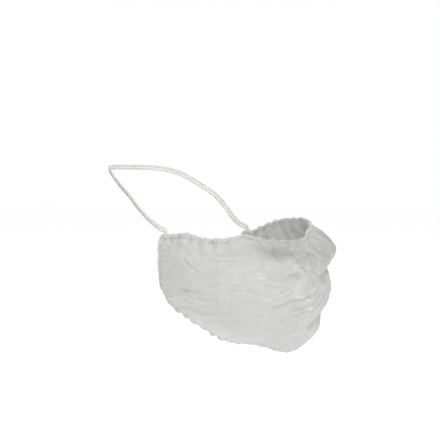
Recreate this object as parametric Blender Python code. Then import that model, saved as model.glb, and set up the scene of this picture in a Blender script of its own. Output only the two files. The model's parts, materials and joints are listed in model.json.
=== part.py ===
"""Disposable beard cover: a thin nonwoven pouch gathered on elastic, as worn.

Metres, +Z up. The wearer faces -Y, so the wearer's right side is at -X. The origin is on
the axis of the head, level with the corners of the jaw, where the lip hem ends. Azimuths
are in degrees round that axis, from the face forwards: positive towards the wearer's right.
"""

import math
from collections import namedtuple

import bmesh
import bpy
from mathutils import Vector

# The wearer's outline, which the cover's edges lie on
JAW_REACH = 0.0945
JAW_HALF_WIDTH = 0.0605
NECK_RADIUS = 0.0570
HEAD_BACK_REACH = 0.1030
HEAD_HALF_WIDTH = 0.0660
OUTLINE_POWER = 2.5

# The pouch
COVER_DROP = 0.0990
FRONT_SWELL = 0.0225
CLOTH_WALL = 0.0012
END_AZIMUTH = 98.5

# Its lower corners are rounded: the ends turn this far forwards below this share
CORNER_TURN = 9.0
CORNER_START = 0.78

# Loose cloth beside the far cheek, centred and spread by shares of the way from hem to neck
CHEEK_PUFF = 0.0110
PUFF_CENTRE = 0.19
PUFF_ABOVE = 0.15
PUFF_BELOW = 0.075

# Gathers of the elastic edges, which die out over these shares of the way
GATHER_DEPTH = 0.0011
GATHERS = 21
GATHER_FADE = 0.15
GATHER_EVENNESS = 0.75
GATHER_DRIFT = 13.0

# Main folds; they flatten out towards both hems and both ends
FOLD_LIFT = 0.0052
FOLD_END = 0.90
END_CALM = 9

# The gathered hems, with the elastic inside them
HEM_WIDTH = 0.0036
HEM_THICKNESS = 0.0022

# The head elastic: two strands side by side, which leave the lip hem this far from its ends
STRAND_WIDTH = 0.0021
STRAND_THICKNESS = 0.0017
STRAND_GAP = 0.0007
STRAP_LEAD = 4.5
STRAP_RISE = 0.0570

# It keeps to the jaw this far past its start, and then takes this far to meet the head
STRAP_ON_JAW = 8.0
STRAP_SPREAD = 22.0

# Room between pieces that touch; the neck hem turns two corners and has a little more
CLEARANCE = 0.0004
NECK_EASE = 1.7

# How finely the faces are cut
COLUMNS = 88
ROWS = 20
HEM_SIDES = 6
STRAND_SIDES = 8
STRAND_STEPS = 50

# The pouch round the face. hem_rise, neck_drop and sag are shares of COVER_DROP, swell of
# FRONT_SWELL and puff of CHEEK_PUFF.
Section = namedtuple("Section", "azimuth hem_rise swell sag neck_drop puff")
SECTIONS = (
    Section(-98.5, 0.000, 0.08, 0.00, 0.54, 0.00),
    Section(-87.0, 0.004, 0.28, 0.01, 0.63, 0.00),
    Section(-75.0, 0.055, 0.42, 0.01, 0.72, 0.05),
    Section(-60.0, 0.110, 0.55, 0.02, 0.82, 0.10),
    Section(-45.0, 0.135, 0.72, 0.05, 0.91, 0.45),
    Section(-32.0, 0.132, 0.87, 0.07, 0.95, 1.00),
    Section(-20.0, 0.080, 0.98, 0.10, 0.96, 0.95),
    Section(-10.0, -0.020, 1.00, 0.11, 0.96, 0.35),
    Section(0.0, -0.045, 1.00, 0.08, 0.96, 0.00),
    Section(12.0, -0.040, 0.96, 0.04, 0.95, 0.00),
    Section(21.0, -0.030, 0.88, 0.03, 0.94, 0.00),
    Section(31.0, 0.008, 0.78, 0.02, 0.93, 0.00),
    Section(43.0, -0.026, 0.66, 0.01, 0.89, 0.00),
    Section(58.0, -0.024, 0.52, 0.01, 0.80, 0.00),
    Section(72.0, 0.016, 0.42, 0.01, 0.71, 0.00),
    Section(86.0, 0.000, 0.28, 0.01, 0.62, 0.00),
    Section(98.5, 0.000, 0.08, 0.00, 0.54, 0.00),
)

# Each section from the hem (at 0) to the neck edge (at 1): how far down it is, how much of
# the sag it takes, how far in from jaw to neck, and how much of the swell it has.
Profile = namedtuple("Profile", "at down sag inward swell")
PROFILE = (
    Profile(0.00, 0.000, 0.00, 0.00, 0.00),
    Profile(0.04, 0.040, 0.00, 0.00, 0.04),
    Profile(0.20, 0.200, 0.00, 0.00, 0.72),
    Profile(0.38, 0.440, 0.00, 0.00, 0.96),
    Profile(0.56, 0.670, 0.15, 0.06, 0.80),
    Profile(0.74, 0.870, 0.65, 0.28, 0.64),
    Profile(0.86, 0.950, 1.00, 0.56, 0.42),
    Profile(0.94, 0.985, 0.75, 0.80, 0.16),
    Profile(1.00, 1.000, 0.15, 1.00, 0.00),
)

# Main folds and dents: where each is centred, the azimuths that it spans to each side, how
# its height changes for each degree, its half width and its lift as a share of FOLD_LIFT.
Fold = namedtuple("Fold", "azimuth span height slope width lift")
FOLDS = (
    Fold(-24.0, 26.0, 0.290, 0.0005, 0.045, -1.00),
    Fold(-32.0, 20.0, 0.450, 0.0000, 0.110, -0.60),
    Fold(-8.0, 22.0, 0.500, 0.0052, 0.050, 0.55),
    Fold(-12.0, 20.0, 0.600, 0.0040, 0.045, -0.70),
    Fold(-22.0, 16.0, 0.690, 0.0010, 0.040, 0.45),
    Fold(-24.0, 24.0, 0.830, 0.0000, 0.070, -0.75),
    Fold(6.0, 16.0, 0.200, -0.0020, 0.030, 0.40),
    Fold(10.0, 14.0, 0.290, -0.0010, 0.032, -0.35),
    Fold(20.0, 22.0, 0.700, 0.0020, 0.045, 0.60),
    Fold(28.0, 20.0, 0.440, 0.0010, 0.045, 0.45),
    Fold(40.0, 26.0, 0.540, 0.0028, 0.034, -0.45),
    Fold(62.0, 26.0, 0.660, 0.0050, 0.034, 0.60),
    Fold(66.0, 24.0, 0.760, 0.0060, 0.032, -0.55),
    Fold(56.0, 24.0, 0.860, 0.0030, 0.034, 0.45),
    Fold(72.0, 18.0, 0.250, -0.0100, 0.045, -0.45),
    Fold(62.0, 14.0, 0.110, 0.0030, 0.030, 0.25),
    Fold(-48.0, 22.0, 0.520, -0.0030, 0.045, 0.50),
    Fold(-66.0, 24.0, 0.640, -0.0050, 0.036, -0.50),
    Fold(-76.0, 20.0, 0.400, 0.0060, 0.040, 0.40),
)

# How the head elastic climbs: shares of the way to the back of the head, and of STRAP_RISE
Climb = namedtuple("Climb", "way rise")
STRAP_CLIMB = (
    Climb(0.00, 0.000),
    Climb(0.07, 0.032),
    Climb(0.13, 0.088),
    Climb(0.19, 0.165),
    Climb(0.25, 0.285),
    Climb(0.31, 0.415),
    Climb(0.36, 0.515),
    Climb(0.42, 0.608),
    Climb(0.49, 0.708),
    Climb(0.56, 0.812),
    Climb(0.65, 0.922),
    Climb(0.77, 0.985),
    Climb(0.88, 0.998),
    Climb(1.00, 1.000),
)


def clear_scene():
    """Take every object of the startup scene away."""
    for found in list(bpy.data.objects):
        bpy.data.objects.remove(found, do_unlink=True)


def read_table(table, at):
    """The table's row at this value of its first column, on a smooth curve through the rows."""
    keys = [row[0] for row in table]
    at = min(max(at, keys[0]), keys[-1])
    last = len(table) - 1
    low = max(i for i in range(last) if keys[i] <= at)
    step = keys[low + 1] - keys[low]
    share = (at - keys[low]) / step

    def slope(row, column):
        before, after = max(row - 1, 0), min(row + 1, last)
        return (table[after][column] - table[before][column]) / (keys[after] - keys[before])

    values = [at]
    for column in range(1, len(table[0])):
        start, end = table[low][column], table[low + 1][column]
        leave, arrive = slope(low, column) * step, slope(low + 1, column) * step
        values.append(
            start * (1 + 2 * share) * (1 - share) ** 2
            + leave * share * (1 - share) ** 2
            + end * share**2 * (3 - 2 * share)
            + arrive * share**2 * (share - 1)
        )
    return type(table[0])(*values)


def smooth_step(share):
    """0 up to share 0, 1 from share 1, and an even swing between them."""
    share = min(1.0, max(0.0, share))
    return share * share * (3 - 2 * share)


def outline_radius(azimuth, half_width):
    """Distance from the head's axis to a rounded outline of the head, at an azimuth."""
    ahead, aside = math.cos(math.radians(azimuth)), math.sin(math.radians(azimuth))
    reach = JAW_REACH if ahead > 0 else HEAD_BACK_REACH
    total = abs(ahead / reach) ** OUTLINE_POWER + abs(aside / half_width) ** OUTLINE_POWER
    return total ** (-1 / OUTLINE_POWER)


def place(azimuth, radius, height):
    """The point at an azimuth, a distance from the head's axis and a height."""
    turn = math.radians(azimuth)
    return Vector((-radius * math.sin(turn), -radius * math.cos(turn), height))


def fold_lift(azimuth, at):
    """How far the main folds stand off the plain pouch here."""
    lift = 0.0
    for fold in FOLDS:
        along = (azimuth - fold.azimuth) / fold.span
        across = (at - fold.height - fold.slope * (azimuth - fold.azimuth)) / fold.width
        lift += fold.lift * math.exp(-(along**2) - across**2)
    flat_at_hems = math.sin(math.pi * min(1.0, at / FOLD_END)) ** 0.5
    return FOLD_LIFT * lift * flat_at_hems


def puff_lift(at, puff):
    """How far the loose cloth beside the far cheek stands off the plain pouch here."""
    across = (at - PUFF_CENTRE) / (PUFF_ABOVE if at < PUFF_CENTRE else PUFF_BELOW)
    return CHEEK_PUFF * puff * math.exp(-(across**2))


def gather_lift(side_share, at):
    """The ripple that the elastic draws into both long edges; it dies out away from them."""
    fade = math.exp(-at / GATHER_FADE) + math.exp(-(1 - at) / GATHER_FADE)
    uneven = GATHER_EVENNESS + (1 - GATHER_EVENNESS) * math.cos(side_share * GATHER_DRIFT)
    return GATHER_DEPTH * fade * uneven * math.cos(side_share * GATHERS * math.pi)


def cover_point(side_share, at):
    """A point of the cloth: side_share from -1 to 1 round the face, at from hem to neck."""
    corner = max(0.0, (at - CORNER_START) / (1 - CORNER_START))
    azimuth = side_share * (END_AZIMUTH - CORNER_TURN * corner**2)
    section, profile = read_table(SECTIONS, azimuth), read_table(PROFILE, at)
    top, bottom = COVER_DROP * section.hem_rise, -COVER_DROP * section.neck_drop
    down = at + (profile.down - at) * min(1.0, section.swell)
    height = top + (bottom - top) * down - COVER_DROP * section.sag * profile.sag
    calm = 1 - abs(side_share) ** END_CALM
    ripple = gather_lift(side_share, at) * calm
    radius = (
        outline_radius(azimuth, JAW_HALF_WIDTH) * (1 - profile.inward)
        + NECK_RADIUS * profile.inward
        + FRONT_SWELL * section.swell * profile.swell
        + puff_lift(at, section.puff)
        + fold_lift(azimuth, at) * calm
        + ripple * (1 - profile.inward)
    )
    return place(azimuth, radius, height - ripple * profile.inward)


def new_object(name, mesh_data, material):
    """Put a finished bmesh into the scene as a named object with its material."""
    mesh = bpy.data.meshes.new(name)
    bmesh.ops.recalc_face_normals(mesh_data, faces=mesh_data.faces)
    mesh_data.to_mesh(mesh)
    mesh_data.free()
    mesh.shade_smooth()
    mesh.materials.append(material)
    made = bpy.data.objects.new(name, mesh)
    bpy.context.scene.collection.objects.link(made)
    return made


def new_material(name, colour, roughness):
    """A plain cloth or elastic material."""
    material = bpy.data.materials.new(name)
    material.use_nodes = True
    shader = material.node_tree.nodes["Principled BSDF"]
    shader.inputs["Base Color"].default_value = (*colour, 1.0)
    shader.inputs["Roughness"].default_value = roughness
    shader.inputs["Metallic"].default_value = 0.0
    return material


def round_sides():
    """The shares round the face at which the cloth and its hems are cut."""
    return [1 - 2 * column / COLUMNS for column in range(COLUMNS + 1)]


def build_pouch(material):
    """The cloth pouch: one sheet from lip hem to neck edge, given its wall."""
    shell = bmesh.new()
    grid = [
        [shell.verts.new(cover_point(side, row / ROWS)) for row in range(ROWS + 1)]
        for side in round_sides()
    ]
    for left, right in zip(grid, grid[1:]):
        for row in range(ROWS):
            shell.faces.new((left[row], right[row], right[row + 1], left[row + 1]))
    pouch = new_object("pouch", shell, material)
    wall = pouch.modifiers.new("Wall", "SOLIDIFY")
    wall.thickness = CLOTH_WALL
    wall.offset = 0.0
    wall.use_even_offset = False
    return pouch


def sweep(name, centres, widths, width, thickness, sides, material):
    """A closed band of rounded section along centres, whose width lies along widths."""
    band = bmesh.new()
    last = len(centres) - 1
    rings = []
    for step, (centre, across) in enumerate(zip(centres, widths)):
        along = (centres[min(step + 1, last)] - centres[max(step - 1, 0)]).normalized()
        thick = along.cross(across).normalized()
        wide = thick.cross(along).normalized()
        ring = []
        for side in range(sides):
            turn = 2 * math.pi * (side + 0.5) / sides
            offset = wide * (width / 2 * math.cos(turn)) + thick * (thickness / 2 * math.sin(turn))
            ring.append(band.verts.new(centre + offset / math.cos(math.pi / sides)))
        rings.append(ring)
    for first, second in zip(rings, rings[1:]):
        for side in range(sides):
            after = (side + 1) % sides
            band.faces.new((first[side], first[after], second[after], second[side]))
    band.faces.new(rings[0][::-1])
    band.faces.new(rings[-1])
    return new_object(name, band, material)


def hem_offset(ease=1.0):
    """How far a hem's middle lies beyond the cloth's edge."""
    return HEM_WIDTH / 2 + CLEARANCE * ease


def build_hem(name, pairs, ease, material):
    """A hem along an edge, given as pairs: a point of the edge and one of the cloth inside."""
    last = len(pairs) - 1
    centres, widths = [], []
    for step, (point, inner) in enumerate(pairs):
        along = (pairs[min(step + 1, last)][0] - pairs[max(step - 1, 0)][0]).normalized()
        outwards = point - inner
        outwards = (outwards - along * outwards.dot(along)).normalized()
        centres.append(point + outwards * hem_offset(ease))
        widths.append(outwards)
    return sweep(name, centres, widths, HEM_WIDTH, HEM_THICKNESS, HEM_SIDES, material)


def build_lip_hem(material):
    """The gathered hem along the upper edge, under the lower lip."""
    inside = 1 / ROWS
    pairs = [(cover_point(side, 0), cover_point(side, inside)) for side in round_sides()]
    return build_hem("lip_hem", pairs, 1.0, material)


def build_neck_hem(material):
    """The gathered hem down both ends of the pouch and along the neck between them."""
    inside = 1 - 1 / ROWS
    beside = 1 - 2 / COLUMNS
    down = [row / ROWS for row in range(1, ROWS)]
    near = [(cover_point(1, at), cover_point(beside, at)) for at in down]
    far = [(cover_point(-1, at), cover_point(-beside, at)) for at in reversed(down)]
    under = [(cover_point(side, 1), cover_point(side, inside)) for side in round_sides()[1:-1]]
    near_corner = (cover_point(1, 1), cover_point(beside, inside))
    far_corner = (cover_point(-1, 1), cover_point(-beside, inside))
    pairs = near + [near_corner] + under + [far_corner] + far
    return build_hem("neck_hem", pairs, NECK_EASE, material)


def strap_point(way):
    """A point of the head elastic's middle line: way from 0 at one end to 2 at the other."""
    first = END_AZIMUTH - STRAP_LEAD
    azimuth = first + (180 - first) * way
    from_end = (180 - first) * min(way, 2 - way)
    spread = smooth_step((from_end - STRAP_ON_JAW) / STRAP_SPREAD)
    jaw = outline_radius(azimuth, JAW_HALF_WIDTH)
    head = outline_radius(azimuth, HEAD_HALF_WIDTH)
    on_hem = hem_offset() + HEM_WIDTH / 2 + CLEARANCE + STRAND_WIDTH + STRAND_GAP / 2
    climb = read_table(STRAP_CLIMB, min(way, 2 - way))
    return place(azimuth, jaw + (head - jaw) * spread, on_hem + STRAP_RISE * climb.rise)


def build_strand(name, level, material):
    """One strand of the head elastic: level 1 is the upper one and -1 the lower one."""
    middle = [strap_point(2 * step / STRAND_STEPS) for step in range(STRAND_STEPS + 1)]
    centres, widths = [], []
    for step, point in enumerate(middle):
        along = middle[min(step + 1, STRAND_STEPS)] - middle[max(step - 1, 0)]
        outwards = Vector((point.x, point.y, 0))
        across = outwards.cross(along).normalized()
        if across.z < 0:
            across.negate()
        centres.append(point + across * (level * (STRAND_WIDTH + STRAND_GAP) / 2))
        widths.append(across)
    return sweep(name, centres, widths, STRAND_WIDTH, STRAND_THICKNESS, STRAND_SIDES, material)


def main():
    """Build the cover's five pieces."""
    clear_scene()
    nonwoven = new_material("white_nonwoven", (0.86, 0.87, 0.86), 0.75)
    hem_cloth = new_material("gathered_hem", (0.84, 0.84, 0.80), 0.70)
    elastic = new_material("covered_elastic", (0.83, 0.81, 0.74), 0.60)
    build_pouch(nonwoven)
    build_lip_hem(hem_cloth)
    build_neck_hem(hem_cloth)
    build_strand("head_elastic_upper", 1, elastic)
    build_strand("head_elastic_lower", -1, elastic)


main()
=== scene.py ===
"""The looks of a disposable beard cover in its worn form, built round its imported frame.

Metres, +Z up. The wearer faces -Y, so the wearer's right side is at -X. The cover is a sheer
nonwoven pouch, gathered on two elastic hems, and held by two strands of head elastic. The
form repeats the sections of the solid model, and is then fitted to the frame's own boxes.

A place on the cloth is given by two shares: side, from -1 at the wearer's left end to 1 at
the right end, and at, from 0 along the lip to 1 along the neck.
"""

from __future__ import annotations

import json
import logging
import math
from abc import ABC
from abc import abstractmethod
from dataclasses import dataclass
from dataclasses import field
from enum import Enum
from typing import NamedTuple

import bmesh
import bpy
import numpy as np
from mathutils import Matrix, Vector
from mathutils import noise

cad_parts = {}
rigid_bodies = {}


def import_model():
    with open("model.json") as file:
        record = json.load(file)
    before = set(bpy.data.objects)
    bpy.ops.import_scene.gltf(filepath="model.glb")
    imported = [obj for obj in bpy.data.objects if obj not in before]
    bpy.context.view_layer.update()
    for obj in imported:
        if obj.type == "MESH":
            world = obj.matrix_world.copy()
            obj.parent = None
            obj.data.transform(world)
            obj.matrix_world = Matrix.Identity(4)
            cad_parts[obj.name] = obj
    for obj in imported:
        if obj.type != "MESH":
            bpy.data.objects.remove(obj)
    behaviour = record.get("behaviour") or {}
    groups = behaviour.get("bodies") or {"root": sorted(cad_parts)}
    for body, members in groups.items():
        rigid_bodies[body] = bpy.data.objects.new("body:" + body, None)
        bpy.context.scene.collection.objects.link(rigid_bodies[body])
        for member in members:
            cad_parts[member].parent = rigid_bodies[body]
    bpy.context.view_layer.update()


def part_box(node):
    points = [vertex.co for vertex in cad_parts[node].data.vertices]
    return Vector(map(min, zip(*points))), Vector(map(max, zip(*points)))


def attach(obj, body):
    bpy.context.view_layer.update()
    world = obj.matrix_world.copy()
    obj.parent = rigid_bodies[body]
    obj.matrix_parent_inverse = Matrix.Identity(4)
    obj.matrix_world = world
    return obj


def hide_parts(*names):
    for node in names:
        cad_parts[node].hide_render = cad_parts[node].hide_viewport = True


LOG = logging.getLogger("beard_cover")
BODY = "root"
MM = 0.001
Socket = bpy.types.NodeSocket

# The UV map of the cloth covers a square this wide, in metres
CLOTH_SPAN = 0.40

# A pleat is half a wave raised to this power, and this much of it lies below the cloth
PLEAT_POWER = 0.8
PLEAT_MIDDLE = 0.6

# The pleats of an edge are made uneven by waves that run this many times along it
HARMONICS = (2.0, 3.7, 6.1, 9.3, 14.9, 22.7)


class Section(NamedTuple):
    """The pouch at one azimuth; the shares are of the form's drop, swell and puff."""

    azimuth: float
    hem_rise: float
    swell: float
    sag: float
    neck_drop: float
    puff: float


class Profile(NamedTuple):
    """One height of every section, from the lip hem at 0 to the neck edge at 1."""

    at: float
    down: float
    sag: float
    inward: float
    swell: float


class Fold(NamedTuple):
    """A main fold: its centre, its spread and how far it lifts as a share of the fold lift."""

    azimuth: float
    span: float
    height: float
    slope: float
    width: float
    lift: float


class Crease(NamedTuple):
    """A narrow crease: its centre, its turn from level in degrees, and its sizes in mm."""

    azimuth: float
    height: float
    turn: float
    reach: float
    width: float
    lift: float


class PaintedShade(NamedTuple):
    """A place of painted shade on the cloth, or of painted light if its depth is negative."""

    azimuth: float
    span: float
    height: float
    width: float
    depth: float


class PlacedCrease(NamedTuple):
    """A crease on the cloth's own grid: its centre, its turn in radians and its sizes."""

    round_face: float
    down: float
    turn: float
    reach: float
    width: float
    lift: float
    bend: float


class Climb(NamedTuple):
    """How high the head elastic is at a share of the way to the back of the head."""

    way: float
    rise: float


SECTIONS = (
    Section(-98.5, 0.000, 0.08, 0.00, 0.54, 0.00),
    Section(-87.0, 0.004, 0.28, 0.01, 0.63, 0.00),
    Section(-75.0, 0.055, 0.42, 0.01, 0.72, 0.05),
    Section(-60.0, 0.110, 0.55, 0.02, 0.82, 0.10),
    Section(-45.0, 0.135, 0.72, 0.05, 0.91, 0.45),
    Section(-32.0, 0.132, 0.87, 0.07, 0.95, 1.00),
    Section(-20.0, 0.080, 0.98, 0.10, 0.96, 0.95),
    Section(-10.0, -0.020, 1.00, 0.11, 0.96, 0.35),
    Section(0.0, -0.045, 1.00, 0.08, 0.96, 0.00),
    Section(12.0, -0.040, 0.96, 0.04, 0.95, 0.00),
    Section(21.0, -0.030, 0.88, 0.03, 0.94, 0.00),
    Section(31.0, 0.008, 0.78, 0.02, 0.93, 0.00),
    Section(43.0, -0.026, 0.66, 0.01, 0.89, 0.00),
    Section(58.0, -0.024, 0.52, 0.01, 0.80, 0.00),
    Section(72.0, 0.016, 0.42, 0.01, 0.71, 0.00),
    Section(86.0, 0.000, 0.28, 0.01, 0.62, 0.00),
    Section(98.5, 0.000, 0.08, 0.00, 0.54, 0.00),
)

PROFILE = (
    Profile(0.00, 0.000, 0.00, 0.00, 0.00),
    Profile(0.04, 0.040, 0.00, 0.00, 0.04),
    Profile(0.20, 0.200, 0.00, 0.00, 0.72),
    Profile(0.38, 0.440, 0.00, 0.00, 0.96),
    Profile(0.56, 0.670, 0.15, 0.06, 0.80),
    Profile(0.74, 0.870, 0.65, 0.28, 0.64),
    Profile(0.86, 0.950, 1.00, 0.56, 0.42),
    Profile(0.94, 0.985, 0.75, 0.80, 0.16),
    Profile(1.00, 1.000, 0.15, 1.00, 0.00),
)

FOLDS = (
    Fold(-31.0, 17.0, 0.075, 0.0000, 0.045, 0.75),
    Fold(-24.0, 26.0, 0.290, 0.0005, 0.045, -1.00),
    Fold(-32.0, 20.0, 0.450, 0.0000, 0.110, -0.60),
    Fold(-8.0, 22.0, 0.500, 0.0052, 0.050, 0.55),
    Fold(-12.0, 20.0, 0.600, 0.0040, 0.045, -0.70),
    Fold(-22.0, 16.0, 0.690, 0.0010, 0.040, 0.45),
    Fold(-24.0, 24.0, 0.830, 0.0000, 0.070, -0.75),
    Fold(6.0, 16.0, 0.200, -0.0020, 0.030, 0.40),
    Fold(10.0, 14.0, 0.290, -0.0010, 0.032, -0.35),
    Fold(20.0, 22.0, 0.700, 0.0020, 0.045, 0.60),
    Fold(28.0, 20.0, 0.440, 0.0010, 0.045, 0.45),
    Fold(40.0, 26.0, 0.540, 0.0028, 0.034, -0.20),
    Fold(62.0, 26.0, 0.660, 0.0050, 0.034, 0.26),
    Fold(66.0, 24.0, 0.760, 0.0060, 0.032, -0.24),
    Fold(56.0, 24.0, 0.860, 0.0030, 0.034, 0.22),
    Fold(72.0, 18.0, 0.250, -0.0100, 0.045, -0.30),
    Fold(62.0, 14.0, 0.110, 0.0030, 0.030, 0.25),
    Fold(-48.0, 22.0, 0.520, -0.0030, 0.045, 0.50),
    Fold(-66.0, 24.0, 0.640, -0.0050, 0.036, -0.50),
    Fold(-76.0, 20.0, 0.400, 0.0060, 0.040, 0.40),
)

# The creases that the eye picks out: under the lip, over the jaw, at the end and at the chin
SEEN_CREASES = (
    Crease(14.0, 0.085, 2.0, 14.0, 5.0, -2.4),
    Crease(6.0, 0.190, 10.0, 13.0, 1.2, 1.0),
    Crease(3.0, 0.060, 4.0, 10.0, 1.1, 0.9),
    Crease(2.0, 0.125, 12.0, 9.0, 1.1, 0.9),
    Crease(42.0, 0.120, -3.0, 22.0, 1.2, -0.5),
    Crease(47.0, 0.160, -7.0, 20.0, 1.3, 0.6),
    Crease(72.0, 0.230, -24.0, 26.0, 2.6, 1.0),
    Crease(56.0, 0.330, -20.0, 26.0, 2.2, -0.7),
    Crease(40.0, 0.360, -15.0, 24.0, 2.6, 1.0),
    Crease(24.0, 0.330, -6.0, 22.0, 2.8, 0.9),
    Crease(30.0, 0.430, -14.0, 26.0, 1.8, -0.7),
    Crease(78.0, 0.100, -46.0, 14.0, 1.2, -0.8),
    Crease(84.0, 0.140, -46.0, 12.0, 1.2, 0.5),
    Crease(95.0, 0.220, 35.0, 7.0, 1.2, 0.6),
    Crease(93.0, 0.420, -30.0, 7.0, 1.2, 0.6),
    Crease(96.0, 0.550, 20.0, 6.0, 1.1, 0.5),
    Crease(74.0, 0.520, -5.0, 30.0, 1.2, 0.6),
    Crease(64.0, 0.560, -3.0, 26.0, 1.1, -0.5),
    Crease(70.0, 0.660, -3.0, 34.0, 1.2, 0.9),
    Crease(72.0, 0.700, -4.0, 28.0, 1.1, -0.6),
    Crease(80.0, 0.600, -6.0, 20.0, 1.1, 0.6),
    Crease(52.0, 0.720, -2.0, 26.0, 1.2, 0.6),
    Crease(7.0, 0.415, 21.0, 27.0, 1.4, 2.1),
    Crease(9.0, 0.455, 21.0, 24.0, 1.9, -1.5),
    Crease(0.0, 0.370, 12.0, 11.0, 1.4, -1.2),
    Crease(11.0, 0.285, 4.0, 11.0, 2.2, -1.1),
    Crease(14.0, 0.340, 14.0, 14.0, 1.4, 0.9),
    Crease(3.0, 0.520, 27.0, 20.0, 1.3, 1.8),
    Crease(8.0, 0.570, 24.0, 18.0, 1.4, -1.1),
    Crease(-3.0, 0.340, 34.0, 13.0, 1.3, 1.7),
    Crease(-5.0, 0.450, 74.0, 10.0, 1.4, -1.1),
    Crease(-4.0, 0.610, 28.0, 13.0, 1.2, 1.5),
    Crease(-4.0, 0.640, 28.0, 11.0, 1.3, -1.0),
    Crease(-5.0, 0.685, 30.0, 12.0, 1.2, 1.5),
    Crease(-5.0, 0.720, 34.0, 10.0, 1.3, -0.9),
    Crease(5.0, 0.700, 18.0, 15.0, 1.3, 1.3),
    Crease(12.0, 0.740, 14.0, 14.0, 1.3, -0.8),
    Crease(-10.0, 0.560, 60.0, 12.0, 1.3, 1.1),
    Crease(-12.0, 0.800, 30.0, 9.0, 1.4, 0.9),
    Crease(-20.0, 0.830, -40.0, 8.0, 1.4, 0.8),
    Crease(-17.0, 0.880, 10.0, 7.0, 1.3, 0.7),
    Crease(0.0, 0.075, -36.0, 7.0, 1.2, 0.8),
    Crease(-3.0, 0.100, -30.0, 7.0, 1.2, -0.8),
    Crease(-8.0, 0.120, -62.0, 12.0, 1.4, 1.1),
    Crease(-14.0, 0.160, -66.0, 13.0, 1.5, -1.3),
    Crease(-19.0, 0.120, -70.0, 13.0, 1.5, 1.3),
    Crease(-25.0, 0.150, -64.0, 12.0, 1.4, -1.1),
    Crease(-31.0, 0.120, -74.0, 11.0, 1.4, 1.1),
    Crease(-36.0, 0.230, -40.0, 10.0, 1.4, 0.9),
    Crease(-30.0, 0.350, 20.0, 12.0, 1.4, 0.8),
    Crease(10.0, 0.250, 6.0, 12.0, 1.2, 0.8),
    Crease(-8.0, 0.260, 24.0, 9.0, 1.2, 1.2),
    Crease(-7.0, 0.400, 30.0, 11.0, 1.2, 1.4),
    Crease(-1.0, 0.455, 30.0, 10.0, 1.2, -1.0),
)

# Painted shade and painted light on the cloth: the head's shade behind the sheer cloth under the lip
# and in the far puff, a painted light in the lower pocket, and patches that even out the lamps'
# light
PAINTED_SHADES = (
    PaintedShade(17.0, 12.0, 0.075, 0.062, 1.00),
    PaintedShade(-4.0, 14.0, 0.100, 0.110, 0.38),
    PaintedShade(-30.0, 14.0, 0.170, 0.110, 1.00),
    PaintedShade(-8.0, 11.0, 0.650, 0.070, -0.75),
    PaintedShade(8.0, 12.0, 0.400, 0.130, -0.22),
    PaintedShade(24.0, 15.0, 0.800, 0.130, 0.18),
    PaintedShade(42.0, 14.0, 0.640, 0.140, 0.14),
    PaintedShade(80.0, 14.0, 0.460, 0.200, 0.20),
)

STRAP_CLIMB = (
    Climb(0.00, 0.000),
    Climb(0.07, 0.032),
    Climb(0.13, 0.088),
    Climb(0.19, 0.165),
    Climb(0.25, 0.285),
    Climb(0.31, 0.415),
    Climb(0.36, 0.515),
    Climb(0.42, 0.608),
    Climb(0.49, 0.708),
    Climb(0.56, 0.812),
    Climb(0.65, 0.922),
    Climb(0.77, 0.985),
    Climb(0.88, 0.998),
    Climb(1.00, 1.000),
)


class Edge(Enum):
    """The two gathered edges of the cloth."""

    LIP = "lip_hem"
    NECK = "neck_hem"


class Pucker(NamedTuple):
    """Pleats from an edge into the cloth: depth in mm, hem pleats in each, reach in metres."""

    edge: Edge
    depth: float
    breadth: float
    reach: float


PUCKERS = (
    Pucker(Edge.LIP, 0.62, 1.0, 0.0040),
    Pucker(Edge.LIP, 0.22, 2.3, 0.0080),
    Pucker(Edge.NECK, 0.60, 1.0, 0.0050),
    Pucker(Edge.NECK, 0.60, 2.1, 0.0110),
)


class Level(Enum):
    """The two strands of the head elastic, by which side of their middle line they take."""

    UPPER = 1
    LOWER = -1


def read_table(rows: tuple, at: np.ndarray) -> NamedTuple:
    """Read a table on a smooth curve through its rows.

    Args:
        rows: named tuples, in rising order of their first column.
        at: where to read, in the units of the first column.

    Returns:
        A row of the same kind whose columns are arrays shaped like at.
    """
    table = np.array(rows, dtype=float)
    keys = table[:, 0]
    at = np.clip(at, keys[0], keys[-1])
    low = np.clip(np.searchsorted(keys, at, side="right") - 1, 0, len(keys) - 2)
    slopes = np.empty_like(table)
    slopes[1:-1] = (table[2:] - table[:-2]) / (keys[2:] - keys[:-2])[:, None]
    slopes[0] = (table[1] - table[0]) / (keys[1] - keys[0])
    slopes[-1] = (table[-1] - table[-2]) / (keys[-1] - keys[-2])
    step = (keys[low + 1] - keys[low])[..., None]
    share = (at - keys[low])[..., None] / step
    values = (
        table[low] * (1 + 2 * share) * (1 - share) ** 2
        + slopes[low] * step * share * (1 - share) ** 2
        + table[low + 1] * share**2 * (3 - 2 * share)
        + slopes[low + 1] * step * share**2 * (share - 1)
    )
    return type(rows[0])(*np.moveaxis(values, -1, 0))


def smooth_step(share: np.ndarray) -> np.ndarray:
    """0 up to share 0, 1 from share 1, and an even swing between them."""
    share = np.clip(share, 0.0, 1.0)
    return share * share * (3 - 2 * share)


def unit(vectors: np.ndarray) -> np.ndarray:
    """The same vectors at length 1, along the last axis."""
    length = np.linalg.norm(vectors, axis=-1, keepdims=True)
    return vectors / np.maximum(length, 1e-12)


def run_length(points: np.ndarray) -> np.ndarray:
    """How far along the first axis each point lies from the first one."""
    steps = np.linalg.norm(np.diff(points, axis=0), axis=-1)
    start = np.zeros((1, *steps.shape[1:]))
    return np.concatenate([start, np.cumsum(steps, axis=0)])


def resample(values: np.ndarray, lengths: np.ndarray, wanted: np.ndarray) -> np.ndarray:
    """Read rows of values, known at these lengths, at the wanted lengths."""
    return np.stack([np.interp(wanted, lengths, column) for column in values.T], axis=-1)


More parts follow.
